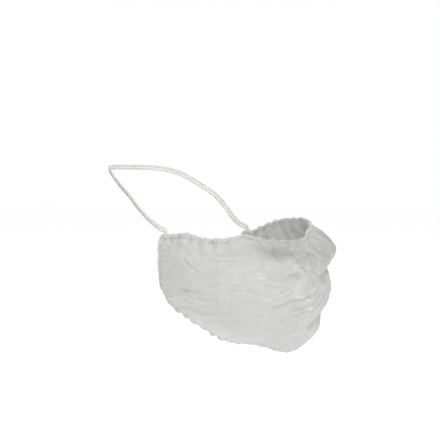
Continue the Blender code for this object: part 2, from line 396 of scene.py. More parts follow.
def soften(values: np.ndarray, reach: int) -> np.ndarray:
    """Average each row of values with its neighbours up to reach rows away."""
    padded = np.pad(values, ((reach, reach), (0, 0)), mode="edge")
    weights = np.hanning(2 * reach + 3)[1:-1]
    weights /= weights.sum()
    columns = [np.convolve(column, weights, mode="valid") for column in padded.T]
    return np.stack(columns, axis=-1)


@dataclass
class WornForm:
    """The cover's worn shape: the wearer's outline with the sections, folds and gathers."""

    jaw_reach: float = 0.0945
    jaw_half_width: float = 0.0605
    neck_radius: float = 0.0570
    head_back_reach: float = 0.1030
    head_half_width: float = 0.0660
    outline_power: float = 2.5
    drop: float = 0.0990
    swell: float = 0.0225
    end_azimuth: float = 98.5
    corner_turn: float = 9.0
    corner_start: float = 0.78
    puff: float = 0.0110
    puff_centre: float = 0.19
    puff_above: float = 0.18
    puff_below: float = 0.075
    gather_depth: float = 0.0011
    gathers: int = 21
    gather_fade: float = 0.15
    gather_evenness: float = 0.75
    gather_drift: float = 13.0
    fold_lift: float = 0.0052
    fold_end: float = 0.90
    end_calm: int = 9
    cloth_wall: float = 0.0012
    scale: np.ndarray = field(default_factory=lambda: np.ones(3))
    shift: np.ndarray = field(default_factory=lambda: np.zeros(3))

    def outline(self, azimuth: np.ndarray, half_width: float) -> np.ndarray:
        """Distance from the head's axis to a rounded outline of the head, at an azimuth."""
        ahead, aside = np.cos(np.radians(azimuth)), np.sin(np.radians(azimuth))
        reach = np.where(ahead > 0, self.jaw_reach, self.head_back_reach)
        power = self.outline_power
        total = np.abs(ahead / reach) ** power + np.abs(aside / half_width) ** power
        return total ** (-1 / power)

    def place(self, azimuth: np.ndarray, radius: np.ndarray, height: np.ndarray) -> np.ndarray:
        """Points at an azimuth, a distance from the head's axis and a height, fitted."""
        turn = np.radians(azimuth)
        points = np.stack([-radius * np.sin(turn), -radius * np.cos(turn), height], axis=-1)
        return points * self.scale + self.shift

    def folds(self, azimuth: np.ndarray, at: np.ndarray) -> np.ndarray:
        """How far the main folds stand off the plain pouch."""
        lift = np.zeros(np.broadcast(azimuth, at).shape)
        for fold in FOLDS:
            along = (azimuth - fold.azimuth) / fold.span
            across = (at - fold.height - fold.slope * (azimuth - fold.azimuth)) / fold.width
            lift += fold.lift * np.exp(-(along**2) - across**2)
        return self.fold_lift * lift * np.sqrt(np.sin(np.pi * np.minimum(1.0, at / self.fold_end)))

    def azimuth_of(self, side: np.ndarray, at: np.ndarray) -> np.ndarray:
        """The azimuth of a place on the cloth, whose lower corners are rounded."""
        corner = np.maximum(0.0, (at - self.corner_start) / (1 - self.corner_start))
        return side * (self.end_azimuth - self.corner_turn * corner**2)

    def surface(self, side: np.ndarray, at: np.ndarray) -> np.ndarray:
        """Points of the cloth.

        Args:
            side: the share round the face, from -1 to 1.
            at: the share of the way from the lip to the neck.

        Returns:
            An array of points with one axis more than side and at have together.
        """
        side, at = np.broadcast_arrays(np.asarray(side, float), np.asarray(at, float))
        azimuth = self.azimuth_of(side, at)
        section, profile = read_table(SECTIONS, azimuth), read_table(PROFILE, at)
        top, bottom = self.drop * section.hem_rise, -self.drop * section.neck_drop
        down = at + (profile.down - at) * np.minimum(1.0, section.swell)
        height = top + (bottom - top) * down - self.drop * section.sag * profile.sag
        calm = 1 - np.abs(side) ** self.end_calm
        fade = np.exp(-at / self.gather_fade) + np.exp(-(1 - at) / self.gather_fade)
        uneven = self.gather_evenness + (1 - self.gather_evenness) * np.cos(side * self.gather_drift)
        ripple = self.gather_depth * fade * uneven * np.cos(side * self.gathers * np.pi) * calm
        spread = np.where(at < self.puff_centre, self.puff_above, self.puff_below)
        radius = (
            self.outline(azimuth, self.jaw_half_width) * (1 - profile.inward)
            + self.neck_radius * profile.inward
            + self.swell * section.swell * profile.swell
            + self.puff * section.puff * np.exp(-(((at - self.puff_centre) / spread) ** 2))
            + self.folds(azimuth, at) * calm
            + ripple * (1 - profile.inward)
        )
        return self.place(azimuth, radius, height - ripple * profile.inward)

    def fit(self, low: Vector, high: Vector) -> None:
        """Fit the form to the box of the solid pouch, which has a wall of its own.

        Args:
            low: the box's lowest corner.
            high: the box's highest corner.
        """
        side, at = np.linspace(-1, 1, 89)[:, None], np.linspace(0, 1, 41)[None, :]
        points = self.surface(side, at).reshape(-1, 3)
        least, most = points.min(axis=0), points.max(axis=0)
        wanted_low = np.array(low) + self.cloth_wall / 2
        wanted_high = np.array(high) - self.cloth_wall / 2
        self.scale = (wanted_high - wanted_low) / (most - least)
        self.shift = wanted_low - least * self.scale
        LOG.info("form fitted: scale %s", np.round(self.scale, 4))


@dataclass
class Gathers:
    """Irregular pleats along an edge, shared by the hem and the cloth that it draws in."""

    count: float
    unevenness: float
    seed: int

    def turns(self, side: np.ndarray) -> np.ndarray:
        """The pleats' phase in radians at each share along the edge.

        Args:
            side: the share along the edge, from -1 to 1.

        Returns:
            The phase, which grows by one full turn for each pleat.
        """
        chance = np.random.RandomState(self.seed)
        phase = np.pi * self.count * side
        for harmonic in HARMONICS:
            start = chance.uniform(0, 2 * np.pi)
            swing = self.unevenness * self.count / harmonic * chance.uniform(0.6, 1.0)
            phase = phase + swing * np.sin(harmonic * np.pi * side + start)
        return phase


def pleat_wave(phase: np.ndarray) -> np.ndarray:
    """Round tops and tight valleys, from about -0.6 to 0.4, one for each full turn."""
    return np.abs(np.sin(phase / 2)) ** PLEAT_POWER - PLEAT_MIDDLE


def grid_faces(columns: int, rows: int) -> np.ndarray:
    """The faces of a grid of the cloth's points, facing away from the head."""
    first = np.arange(columns)[:, None] * (rows + 1) + np.arange(rows)[None, :]
    first = first.ravel()
    return np.stack([first, first + rows + 1, first + rows + 2, first + 1], axis=-1)


class Ramp(NamedTuple):
    """A range of values and the range that it is moved to."""

    low: float
    high: float
    to_low: float = 0.0
    to_high: float = 1.0


class Relief(NamedTuple):
    """How strongly a bump is shaded, and how high it stands in metres."""

    strength: float
    distance: float


class NodeBench:
    """Adds nodes to a tree and links them, for materials and Geometry Nodes alike."""

    def __init__(self, tree: bpy.types.NodeTree) -> None:
        """Keep the tree that the nodes go into."""
        self.tree = tree

    @classmethod
    def cleared(cls, owner: bpy.types.Material | bpy.types.World) -> NodeBench:
        """A bench on the emptied tree of a material or a world."""
        owner.use_nodes = True
        owner.node_tree.nodes.clear()
        return cls(owner.node_tree)

    def add(self, kind: str, settings: dict | None = None, **inputs: object) -> bpy.types.Node:
        """Add a node.

        Args:
            kind: the node's type name.
            settings: properties of the node.
            **inputs: a value or an output socket for each input, its spaces as underscores.

        Returns:
            The node.
        """
        node = self.tree.nodes.new(kind)
        for name, value in (settings or {}).items():
            setattr(node, name, value)
        for name, value in inputs.items():
            self.feed(self.find(node, name), value)
        return node

    def find(self, node: bpy.types.Node, name: str) -> Socket:
        """The enabled input with this name, or with this place if the name is i0, i1 and so on."""
        if name[0] == "i" and name[1:].isdigit():
            return node.inputs[int(name[1:])]
        wanted = name.replace("_", " ")
        return next(s for s in node.inputs if s.name == wanted and s.enabled)

    def feed(self, socket: Socket, value: object) -> None:
        """Link an output socket to this input, or set its value; a colour has no alpha here."""
        if isinstance(value, Socket):
            self.tree.links.new(value, socket)
        elif socket.type == "RGBA":
            socket.default_value = (*value, 1.0)
        else:
            socket.default_value = value

    def math(self, operation: str, first: object, second: object = 0.0) -> Socket:
        """The result of a Math node."""
        node = self.add("ShaderNodeMath", {"operation": operation}, i0=first, i1=second)
        return node.outputs[0]

    def times(self, first: object, second: object) -> Socket:
        """One number times another."""
        return self.math("MULTIPLY", first, second)

    def plus(self, first: object, second: object) -> Socket:
        """The sum of two numbers."""
        return self.math("ADD", first, second)

    def scale(self, vector: object, by: object) -> Socket:
        """A vector times a number."""
        node = self.add("ShaderNodeVectorMath", {"operation": "SCALE"}, i0=vector, Scale=by)
        return node.outputs[0]

    def mapped(self, value: object, ramp: Ramp) -> Socket:
        """A value moved from one range to another, held at the ends."""
        low, high, to_low, to_high = ramp
        return self.add(
            "ShaderNodeMapRange", {"clamp": True}, i0=value, i1=low, i2=high, i3=to_low, i4=to_high
        ).outputs[0]

    def noise(self, place: object, rate: float, **more: float) -> Socket:
        """The result of a Noise Texture node, with about this many lumps for each metre."""
        return self.add("ShaderNodeTexNoise", Vector=place, Scale=rate, **more).outputs[0]

    def read(self, name: str, output: str = "Fac") -> Socket:
        """A material's reading of a named attribute of its piece."""
        return self.add("ShaderNodeAttribute", {"attribute_name": name}).outputs[output]

    def blend(self, share: object, low: object, high: object, kind: str = "MIX") -> Socket:
        """A colour between low and high, or low changed by high in another kind of mix."""
        settings = {"data_type": "RGBA", "blend_type": kind}
        return self.add("ShaderNodeMix", settings, Factor=share, i6=low, i7=high).outputs[2]

    def bump(self, height: object, relief: Relief, **under: object) -> Socket:
        """The normal over a height, on top of another Normal if one is given."""
        strength, distance = relief
        return self.add(
            "ShaderNodeBump", Strength=strength, Distance=distance, Height=height, **under
        ).outputs[0]


class BandTree(NodeBench):
    """A Geometry Nodes tree that sweeps a ribbed, lumpy band along a path of edges.

    The path's points carry the attributes outwards (the way its width lies) and rib_turn
    (the ribs' phase). The band stores weave_place: its place across, through and along.
    """

    INPUTS = (
        ("Width", 0.0042),
        ("Thickness", 0.0026),
        ("Rib Depth", 0.0004),
        ("Rib Slant", 0.8),
        ("Ribs Round", 0.0),
        ("Core Lift", 0.0),
        ("Core Place", 0.0),
        ("Core Width", 0.001),
        ("Lump Depth", 0.0002),
        ("Lump Size", 0.003),
        ("Seed", 1.0),
    )

    def __init__(self) -> None:
        """Build the tree once; every band then has its own sizes as modifier inputs."""
        super().__init__(bpy.data.node_groups.new("gathered_band", "GeometryNodeTree"))
        self.ids: dict[str, str] = {}
        face = self.tree.interface
        face.new_socket(name="Path", in_out="INPUT", socket_type="NodeSocketGeometry")
        for name, value in self.INPUTS:
            socket = face.new_socket(name=name, in_out="INPUT", socket_type="NodeSocketFloat")
            socket.default_value = value
            self.ids[name] = socket.identifier
        sides = face.new_socket(name="Sides", in_out="INPUT", socket_type="NodeSocketInt")
        sides.default_value = 20
        self.ids["Sides"] = sides.identifier
        finish = face.new_socket(name="Finish", in_out="INPUT", socket_type="NodeSocketMaterial")
        self.ids["Finish"] = finish.identifier
        face.new_socket(name="Band", in_out="OUTPUT", socket_type="NodeSocketGeometry")
        self.wire()

    def attribute(self, name: str, kind: str) -> Socket:
        """An output socket that reads a named attribute of this kind."""
        node = self.add("GeometryNodeInputNamedAttribute", {"data_type": kind}, Name=name)
        return next(s for s in node.outputs if s.enabled and s.name == "Attribute")

    def store(self, geometry: object, name: str, kind: str, value: object) -> Socket:
        """Store a value on the points of a geometry under a name."""
        settings = {"data_type": kind, "domain": "POINT"}
        return self.add(
            "GeometryNodeStoreNamedAttribute", settings, Geometry=geometry, Name=name, Value=value
        ).outputs[0]

    def wire(self) -> None:
        """Lay out the nodes: sweep, ribs, core, lumps, and the finished mesh."""
        given = self.add("NodeGroupInput").outputs
        curve = self.add("GeometryNodeMeshToCurve", Mesh=given["Path"]).outputs[0]
        outwards = self.attribute("outwards", "FLOAT_VECTOR")
        curve = self.add(
            "GeometryNodeSetCurveNormal", {"mode": "FREE"}, Curve=curve, Normal=outwards
        ).outputs[0]
        length = self.add("GeometryNodeSplineParameter").outputs["Length"]
        curve = self.store(curve, "along", "FLOAT", length)
        ring = self.section(given)
        band = self.add(
            "GeometryNodeCurveToMesh", Curve=curve, Profile_Curve=ring, Fill_Caps=True
        ).outputs[0]
        across = self.attribute("across", "FLOAT")
        through = self.attribute("through", "FLOAT")
        along = self.attribute("along", "FLOAT")
        lift = self.rib_lift(given, across, through)
        lift = self.plus(lift, self.core_lift(given, across))
        lift = self.plus(lift, self.lump_lift(given))
        place = self.add("ShaderNodeCombineXYZ", X=across, Y=through, Z=along).outputs[0]
        band = self.store(band, "weave_place", "FLOAT_VECTOR", place)
        normal = self.add("GeometryNodeInputNormal").outputs["Normal"]
        offset = self.scale(normal, lift)
        band = self.add("GeometryNodeSetPosition", Geometry=band, Offset=offset).outputs[0]
        band = self.add("GeometryNodeRealizeInstances", Geometry=band).outputs[0]
        band = self.add(
            "GeometryNodeSetMaterial", Geometry=band, Material=given["Finish"]
        ).outputs[0]
        self.add("NodeGroupOutput", Band=band)

    def section(self, given: object) -> Socket:
        """The band's oval section, whose points carry their place across and through."""
        ring = self.add(
            "GeometryNodeCurvePrimitiveCircle",
            {"mode": "RADIUS"},
            Resolution=given["Sides"],
            Radius=1.0,
        )
        point = self.add("GeometryNodeInputPosition").outputs[0]
        parts = self.add("ShaderNodeSeparateXYZ", Vector=point).outputs
        ring = self.store(ring.outputs[0], "across", "FLOAT", parts[0])
        ring = self.store(ring, "through", "FLOAT", parts[1])
        half_width = self.times(given["Width"], 0.5)
        half_thick = self.times(given["Thickness"], 0.5)
        new_x = self.times(parts[0], half_width)
        new_y = self.times(parts[1], half_thick)
        oval = self.add("ShaderNodeCombineXYZ", X=new_x, Y=new_y).outputs[0]
        return self.add("GeometryNodeSetPosition", Geometry=ring, Position=oval).outputs[0]

    def rib_lift(self, given: object, across: object, through: object) -> Socket:
        """Ribs with round tops and tight valleys, slanted or wound round the band."""
        turn = self.attribute("rib_turn", "FLOAT")
        slant = self.times(across, given["Rib Slant"])
        angle = self.math("ARCTAN2", through, across)
        wound = self.times(angle, given["Ribs Round"])
        phase = self.plus(self.plus(turn, slant), wound)
        wave = self.math("ABSOLUTE", self.math("SINE", self.times(phase, 0.5)))
        wave = self.math("SUBTRACT", self.math("POWER", wave, PLEAT_POWER), PLEAT_MIDDLE)
        return self.times(wave, given["Rib Depth"])

    def core_lift(self, given: object, across: object) -> Socket:
        """The swelling over the elastic thread that runs inside the band."""
        place = self.times(across, self.times(given["Width"], 0.5))
        apart = self.math("SUBTRACT", place, given["Core Place"])
        apart = self.math("DIVIDE", apart, given["Core Width"])
        bell = self.math("EXPONENT", self.times(self.math("POWER", apart, 2.0), -1.0))
        return self.times(bell, given["Core Lift"])

    def lump_lift(self, given: object) -> Socket:
        """Uneven lumps, steady for a seed."""
        rate = self.math("DIVIDE", 1.0, given["Lump Size"])
        cloud = self.add(
            "ShaderNodeTexNoise",
            {"noise_dimensions": "4D"},
            Vector=self.add("GeometryNodeInputPosition").outputs[0],
            W=given["Seed"],
            Scale=rate,
            Detail=2.0,
        ).outputs[0]
        swing = self.times(self.math("SUBTRACT", cloud, 0.5), 2.0)
        return self.times(swing, given["Lump Depth"])

    def make(
        self,
        name: str,
        centres: np.ndarray,
        outwards: np.ndarray,
        rib_turn: np.ndarray,
        finish: bpy.types.Material,
        sides: int,
        **sizes: float,
    ) -> bpy.types.Object:
        """Sweep one band and turn it into a plain mesh.

        Args:
            name: the new piece's name.
            centres: the path's points.
            outwards: the way the band's width lies at each point.
            rib_turn: the ribs' phase at each point, in radians.
            finish: the band's material.
            sides: how many points its section has.
            **sizes: the tree's other inputs, their spaces as underscores.

        Returns:
            The finished piece.
        """
        path = bpy.data.meshes.new(f"{name}_path")
        edges = [(step, step + 1) for step in range(len(centres) - 1)]
        path.from_pydata(centres.tolist(), edges, [])
        way = path.attributes.new("outwards", "FLOAT_VECTOR", "POINT")
        way.data.foreach_set("vector", outwards.astype(np.float32).ravel())
        turn = path.attributes.new("rib_turn", "FLOAT", "POINT")
        turn.data.foreach_set("value", rib_turn.astype(np.float32))
        guide = in_scene(f"{name}_guide", path)
        modifier = guide.modifiers.new("Band", "NODES")
        modifier.node_group = self.tree
        modifier[self.ids["Sides"]] = sides
        modifier[self.ids["Finish"]] = finish
        for size, value in sizes.items():
            modifier[self.ids[size.replace("_", " ")]] = float(value)
        return finished_piece(name, guide)


def in_scene(name: str, data: bpy.types.ID) -> bpy.types.Object:
    """A new object with this data, linked into the scene."""
    thing = bpy.data.objects.new(name, data)
    bpy.context.scene.collection.objects.link(thing)
    return thing


def finished_piece(name: str, guide: bpy.types.Object) -> bpy.types.Object:
    """Turn an object with live modifiers into a plain mesh piece at the origin.

    Args:
        name: the new piece's name.
        guide: the object, which is removed.

    Returns:
        The new piece, with outward faces and smooth shading.
    """
    depsgraph = bpy.context.evaluated_depsgraph_get()
    mesh = bpy.data.meshes.new_from_object(
        guide.evaluated_get(depsgraph), preserve_all_data_layers=True, depsgraph=depsgraph
    )
    old = guide.data
    bpy.data.objects.remove(guide, do_unlink=True)
    if old.users == 0:
        bpy.data.meshes.remove(old)
    mesh.name = name
    shell = bmesh.new()
    shell.from_mesh(mesh)
    bmesh.ops.recalc_face_normals(shell, faces=shell.faces)
    shell.to_mesh(mesh)
    shell.free()
    mesh.shade_smooth()
    return in_scene(name, mesh)


@dataclass(frozen=True)
class Finish(ABC):
    """A procedural material; each kind lays out the nodes of its own surface."""

    name: str = "finish"
    roughness: float = 0.7
    sheen: float = 0.12
    specular: float = 0.35
    glow: float = 0.0

    def build(self) -> bpy.types.Material:
        """Make the material."""
        material = bpy.data.materials.new(self.name)
        bench = NodeBench.cleared(material)
        bench.add("ShaderNodeOutputMaterial", Surface=self.surface(bench))
        return material

    @abstractmethod
    def surface(self, bench: NodeBench) -> Socket:
        """Lay out the nodes of the surface, and give its shader."""

    def front(self, bench: NodeBench, colour: object, normal: object, **more: object) -> Socket:
        """The shader for the light that the piece throws back."""
        return bench.add(
            "ShaderNodeBsdfPrincipled",
            Base_Color=colour,
            Roughness=self.roughness,
            Sheen_Weight=self.sheen,
            Specular_IOR_Level=self.specular,
            Normal=normal,
            **more,
        ).outputs[0]

    def lit_through(
        self, bench: NodeBench, front: object, colour: object, normal: object
    ) -> Socket:
        """The front's shader with the light that comes through from behind."""
        behind = bench.add("ShaderNodeBsdfTranslucent", Color=colour, Normal=normal).outputs[0]
        return bench.add("ShaderNodeMixShader", Fac=self.glow, i1=front, i2=behind).outputs[0]


class WrinkleWay(NamedTuple):
    """One layer of wrinkles: its turn in degrees, sizes, and strength at jaw and chin."""

    turn: float
    stretch: float
    size: float
    on_jaw: float
    on_chin: float


@dataclass(frozen=True)
class NonwovenFinish(Finish):
    """Sheer spunbond cloth: cloudy fibres, tiny bond points and a soft glow from behind."""

    name: str = "sheer_nonwoven"
    roughness: float = 0.72
    glow: float = 0.30
    thin_colour: tuple = (0.500, 0.496, 0.474)
    dense_colour: tuple = (0.790, 0.783, 0.748)
    painted_backlight_tint: tuple = (0.968, 0.982, 1.008)
    glow_colour: tuple = (0.70, 0.715, 0.73)
    painted_shade_share: float = 0.76
    wrinkle_highlight_share: float = 0.22
    thin_alpha: float = 0.74
    dense_alpha: float = 0.985
    bond_alpha: float = 0.06
    cloud_size: float = 0.0075
    cloud_ramp: Ramp = Ramp(0.34, 0.66, 0.36, 0.48)
    fibre_size: float = 0.00032
    fibre_ways: tuple = ((8.0, 14.0), (68.0, 11.0), (-52.0, 12.0))
    fibre_ramp: Ramp = Ramp(0.35, 0.65, -0.07, 0.07)
    fibre_height: float = 0.8
    bond_pitch: float = 0.0013
    bond_turn: float = 45.0
    bond_ramp: Ramp = Ramp(0.16, 0.30, 1.0, 0.0)
    weave_relief: Relief = Relief(0.35, 0.00012)
    fold_relief: Relief = Relief(0.75, 0.0006)
    wrinkle_ways: tuple = (
        WrinkleWay(8.0, 5.0, 0.0050, 0.85, 0.25),
        WrinkleWay(-10.0, 4.0, 0.0066, 0.70, 0.35),
        WrinkleWay(22.0, 3.6, 0.0058, 0.55, 0.30),
        WrinkleWay(-40.0, 3.6, 0.0052, 0.15, 1.00),
        WrinkleWay(66.0, 2.8, 0.0060, 0.20, 0.80),
    )
    wrinkle_ramp: Ramp = Ramp(0.0, 0.075, 1.0, 0.0)
    patch_rate: float = 48.0
    patch_ramp: Ramp = Ramp(0.40, 0.60, 0.20, 1.0)

    def surface(self, bench: NodeBench) -> Socket:
        """Read the piece's UV map, which is CLOTH_SPAN wide, and its density, looseness and painted
        shade; the colour gets painted highlights, painted shade and a painted cool tint.
        """
        flat = bench.add("ShaderNodeUVMap", {"uv_map": "UVMap"}).outputs[0]
        flat = bench.scale(flat, CLOTH_SPAN)
        cloud = bench.noise(flat, 1 / self.cloud_size, Detail=5.0, Roughness=0.62)
        streaks = self.streaks(bench, flat)
        bond = self.bonds(bench, flat)
        loose = bench.read("loose")
        folded = self.wrinkles(bench, flat, loose)
        # the density attribute holds the denser rim by the hems and a painted highlight on sharp
        # ridges
        body = bench.plus(bench.mapped(cloud, self.cloud_ramp), bench.read("density"))
        body = bench.plus(body, bench.mapped(streaks, self.fibre_ramp))
        # a painted highlight along the wrinkle lines, which also makes them a little more opaque
        body = bench.plus(body, bench.times(folded, self.wrinkle_highlight_share))
        body = bench.mapped(body, Ramp(0.0, 1.0))
        colour = bench.blend(body, self.thin_colour, self.dense_colour)
        # a painted cool tint of light from behind, where the cloth hangs loose
        colour = bench.blend(loose, colour, self.painted_backlight_tint, "MULTIPLY")
        # The piece's painted shade, painted light where negative, scales the front colour and the
        # glow
        painted_shade_ramp = Ramp(-1.0, 1.0, 2.0 - self.painted_shade_share, self.painted_shade_share)
        shade = bench.mapped(bench.read("painted_shade"), painted_shade_ramp)
        alpha = bench.mapped(body, Ramp(0.0, 1.0, self.thin_alpha, self.dense_alpha))
        alpha = bench.math("SUBTRACT", alpha, bench.times(bond, self.bond_alpha))
        height = bench.math("SUBTRACT", bench.times(streaks, self.fibre_height), bond)
        normal = bench.bump(height, self.weave_relief)
        normal = bench.bump(folded, self.fold_relief, Normal=normal)
        front = self.front(bench, bench.scale(colour, shade), normal, Alpha=alpha)
        return self.lit_through(bench, front, bench.scale(self.glow_colour, shade), normal)

    def turned(self, bench: NodeBench, flat: object, turn: float, stretch: float) -> Socket:
        """The cloth's places drawn out along a direction, given in degrees."""
        place = bench.add("ShaderNodeMapping", {"vector_type": "TEXTURE"}, Vector=flat)
        place.inputs["Rotation"].default_value = (0.0, 0.0, math.radians(turn))
        place.inputs["Scale"].default_value = (stretch, 1.0, 1.0)
        return place.outputs[0]

    def wrinkles(self, bench: NodeBench, flat: object, loose: object) -> Socket:
        """Fine sharp wrinkles from 0 to 1: level at the jaw, and every way where it is loose."""
        total = None
        for way in self.wrinkle_ways:
            place = self.turned(bench, flat, way.turn, way.stretch)
            wave = bench.noise(place, 1 / way.size, Detail=1.5, Distortion=0.5)
            ridge = bench.math("ABSOLUTE", bench.math("SUBTRACT", wave, 0.5))
            ridge = bench.mapped(ridge, self.wrinkle_ramp)
            strength = bench.mapped(loose, Ramp(0.0, 1.0, way.on_jaw, way.on_chin))
            ridge = bench.times(ridge, strength)
            total = ridge if total is None else bench.math("MAXIMUM", total, ridge)
        patch = bench.noise(flat, self.patch_rate, Detail=2.0)
        return bench.times(total, bench.mapped(patch, self.patch_ramp))

    def streaks(self, bench: NodeBench, flat: object) -> Socket:
        """Long fibres that lie in several ways over each other."""
        total = None
        for turn, stretch in self.fibre_ways:
            place = self.turned(bench, flat, turn, stretch)
            way = bench.noise(place, 1 / self.fibre_size, Detail=2.0, Distortion=0.4)
            total = way if total is None else bench.plus(total, way)
        return bench.math("DIVIDE", total, float(len(self.fibre_ways)))

    def bonds(self, bench: NodeBench, flat: object) -> Socket:
        """The diamond lattice of pressed bond points, as 1 on a point and 0 off it."""
        place = bench.add("ShaderNodeMapping", Vector=flat)
        place.inputs["Rotation"].default_value = (0.0, 0.0, math.radians(self.bond_turn))
        dots = bench.add(
            "ShaderNodeTexVoronoi",
            {"voronoi_dimensions": "2D"},
            Vector=place.outputs[0],
            Scale=1 / self.bond_pitch,
            Randomness=0.08,
        ).outputs["Distance"]
        return bench.mapped(dots, self.bond_ramp)


@dataclass(frozen=True)
class HemFinish(Finish):
    """Several layers of the same cloth, gathered: denser, a little creamier, in fine ridges."""

    name: str = "gathered_hem"
    glow: float = 0.15
    light_colour: tuple = (0.620, 0.615, 0.590)
    shade_colour: tuple = (0.505, 0.500, 0.478)
    crimp_size: float = 0.0011
    crimp_share: float = 0.6
    tone_ramp: Ramp = Ramp(0.36, 0.56)
    mottle_rate: float = 450.0
    fibre_rate: float = 3200.0
    fibre_height: float = 0.35
    relief: Relief = Relief(0.6, 0.0003)
    lip_shadow_centre: tuple = (-0.0160, -0.0930, 0.0)
    lip_shadow_reach: float = 0.052
    lip_shadow_core: float = 0.3
    lip_shadow_share: float = 0.85

    def surface(self, bench: NodeBench) -> Socket:
        """Read Object coordinates and the band's own straightened place; a painted shadow of the lip
        darkens one spot.
        """
        spot = bench.add("ShaderNodeTexCoord").outputs["Object"]
        place = bench.add("ShaderNodeMapping", Vector=bench.read("weave_place", "Vector"))
        place.inputs["Scale"].default_value = (0.6, 0.6, 1 / self.crimp_size)
        crimp = bench.noise(place.outputs[0], 1.0, Detail=4.0, Distortion=0.6)
        mottle = bench.noise(spot, self.mottle_rate, Detail=4.0)
        fibres = bench.noise(spot, self.fibre_rate, Detail=2.0)
        # painted shade in the crimp's low places, mixed with random mottle: from shade_colour in the
        # valleys to light_colour on the crimp's tops
        tone = bench.plus(
            bench.times(crimp, self.crimp_share), bench.times(mottle, 1 - self.crimp_share)
        )
        tone = bench.mapped(tone, self.tone_ramp)
        colour = bench.blend(tone, self.shade_colour, self.light_colour)
        # painted shadow of the lip on the hem, darkest within the core and gone at the reach
        apart = bench.add(
            "ShaderNodeVectorMath", {"operation": "DISTANCE"}, i0=spot, i1=self.lip_shadow_centre
        ).outputs["Value"]
        core = self.lip_shadow_core * self.lip_shadow_reach
        shade = bench.mapped(apart, Ramp(core, self.lip_shadow_reach, self.lip_shadow_share, 1.0))
        height = bench.plus(crimp, bench.times(fibres, self.fibre_height))
        normal = bench.bump(height, self.relief)
        front = self.front(bench, bench.scale(colour, shade), normal)
        return self.lit_through(bench, front, bench.scale(self.light_colour, shade), normal)


@dataclass(frozen=True)
class ElasticFinish(Finish):
    """Rubber thread covered in wound yarn: cream white, with fine windings and a soft shine."""

    name: str = "covered_elastic"
    roughness: float = 0.58
    sheen: float = 0.2
    specular: float = 0.5
    light_colour: tuple = (0.70, 0.69, 0.645)
    shade_colour: tuple = (0.47, 0.46, 0.41)
    winding_pitch: float = 0.00045
    winding_slant: float = 3.0
    winding_share: float = 0.55
    fuzz_rate: float = 1500.0
    fuzz_height: float = 0.6
    worn_rate: float = 120.0
    worn_ramp: Ramp = Ramp(0.35, 0.65, -0.12, 0.12)
    tone_ramp: Ramp = Ramp(0.15, 0.75)
    relief: Relief = Relief(0.55, 0.0001)

    def surface(self, bench: NodeBench) -> Socket:
        """Read Object coordinates and the strand's own straightened place."""
        spot = bench.add("ShaderNodeTexCoord").outputs["Object"]
        band = bench.read("weave_place", "Vector")
        parts = bench.add("ShaderNodeSeparateXYZ", Vector=band).outputs
        angle = bench.math("ARCTAN2", parts[1], parts[0])
        along = bench.times(parts[2], 2 * math.pi / self.winding_pitch)
        wave = bench.math("SINE", bench.plus(along, bench.times(angle, self.winding_slant)))
        wave = bench.mapped(wave, Ramp(-1.0, 1.0))
        fuzz = bench.noise(spot, self.fuzz_rate, Detail=4.0)
        worn = bench.noise(spot, self.worn_rate, Detail=3.0)
        # painted shade in the grooves between the windings and in the low fuzz, with a random worn
        # tone: from shade_colour to light_colour
        tone = bench.plus(
            bench.times(wave, self.winding_share), bench.times(fuzz, 1 - self.winding_share)
        )
        tone = bench.plus(tone, bench.mapped(worn, self.worn_ramp))
        tone = bench.mapped(tone, self.tone_ramp)
        colour = bench.blend(tone, self.shade_colour, self.light_colour)
        height = bench.plus(wave, bench.times(fuzz, self.fuzz_height))
        return self.front(bench, colour, bench.bump(height, self.relief))


@dataclass(frozen=True)
class SlackCloth:
    """A cloth simulation in which a grid, held along its rim, grows a little and buckles."""

    scale: float = 10.0
    frames: int = 34
    growth: float = 0.085
    quality: int = 7
    mass: float = 0.15
    air_damping: float = 2.0
    stiffness: float = 22.0
    shear_stiffness: float = 9.0
    bending_stiffness: float = 0.35
    gravity: float = 0.04

    def cloth(self, points: np.ndarray) -> bpy.types.Object:
        """The grid as an object that the simulation moves."""
        columns, rows = points.shape[0] - 1, points.shape[1] - 1
        mesh = bpy.data.meshes.new("slack_cloth")
        faces = grid_faces(columns, rows)
        mesh.from_pydata(points.reshape(-1, 3).tolist(), [], faces.tolist())
        cloth = in_scene("slack_cloth", mesh)
        held = cloth.vertex_groups.new(name="held")
        index = np.arange((columns + 1) * (rows + 1)).reshape(columns + 1, rows + 1)
        rim = np.concatenate([index[0], index[-1], index[:, 0], index[:, -1]])
        held.add([int(i) for i in rim], 1.0, "REPLACE")
        modifier = cloth.modifiers.new("Slack", "CLOTH")
        modifier.point_cache.frame_start = 1
        modifier.point_cache.frame_end = self.frames
        modifier.collision_settings.use_collision = False
        settings = modifier.settings
        settings.vertex_group_mass = held.name
        settings.quality = self.quality
        settings.mass = self.mass
        settings.air_damping = self.air_damping
        settings.tension_stiffness = self.stiffness
        settings.compression_stiffness = self.stiffness
        settings.shear_stiffness = self.shear_stiffness
        settings.bending_stiffness = self.bending_stiffness
        settings.shrink_min = -self.growth
        settings.effector_weights.gravity = self.gravity
        return cloth

    def moves(self, points: np.ndarray) -> np.ndarray:
        """How far the simulation moves each point of a grid."""
        start = points * self.scale
        cloth = self.cloth(start)
        scene = bpy.context.scene
        for frame in range(1, self.frames + 1):
            scene.frame_set(frame)
        depsgraph = bpy.context.evaluated_depsgraph_get()
        end = np.empty(start.size)
        cloth.evaluated_get(depsgraph).to_mesh().vertices.foreach_get("co", end)
        scene.frame_set(1)
        mesh = cloth.data
        bpy.data.objects.remove(cloth, do_unlink=True)
        bpy.data.meshes.remove(mesh)
        return (end.reshape(points.shape) - start) / self.scale


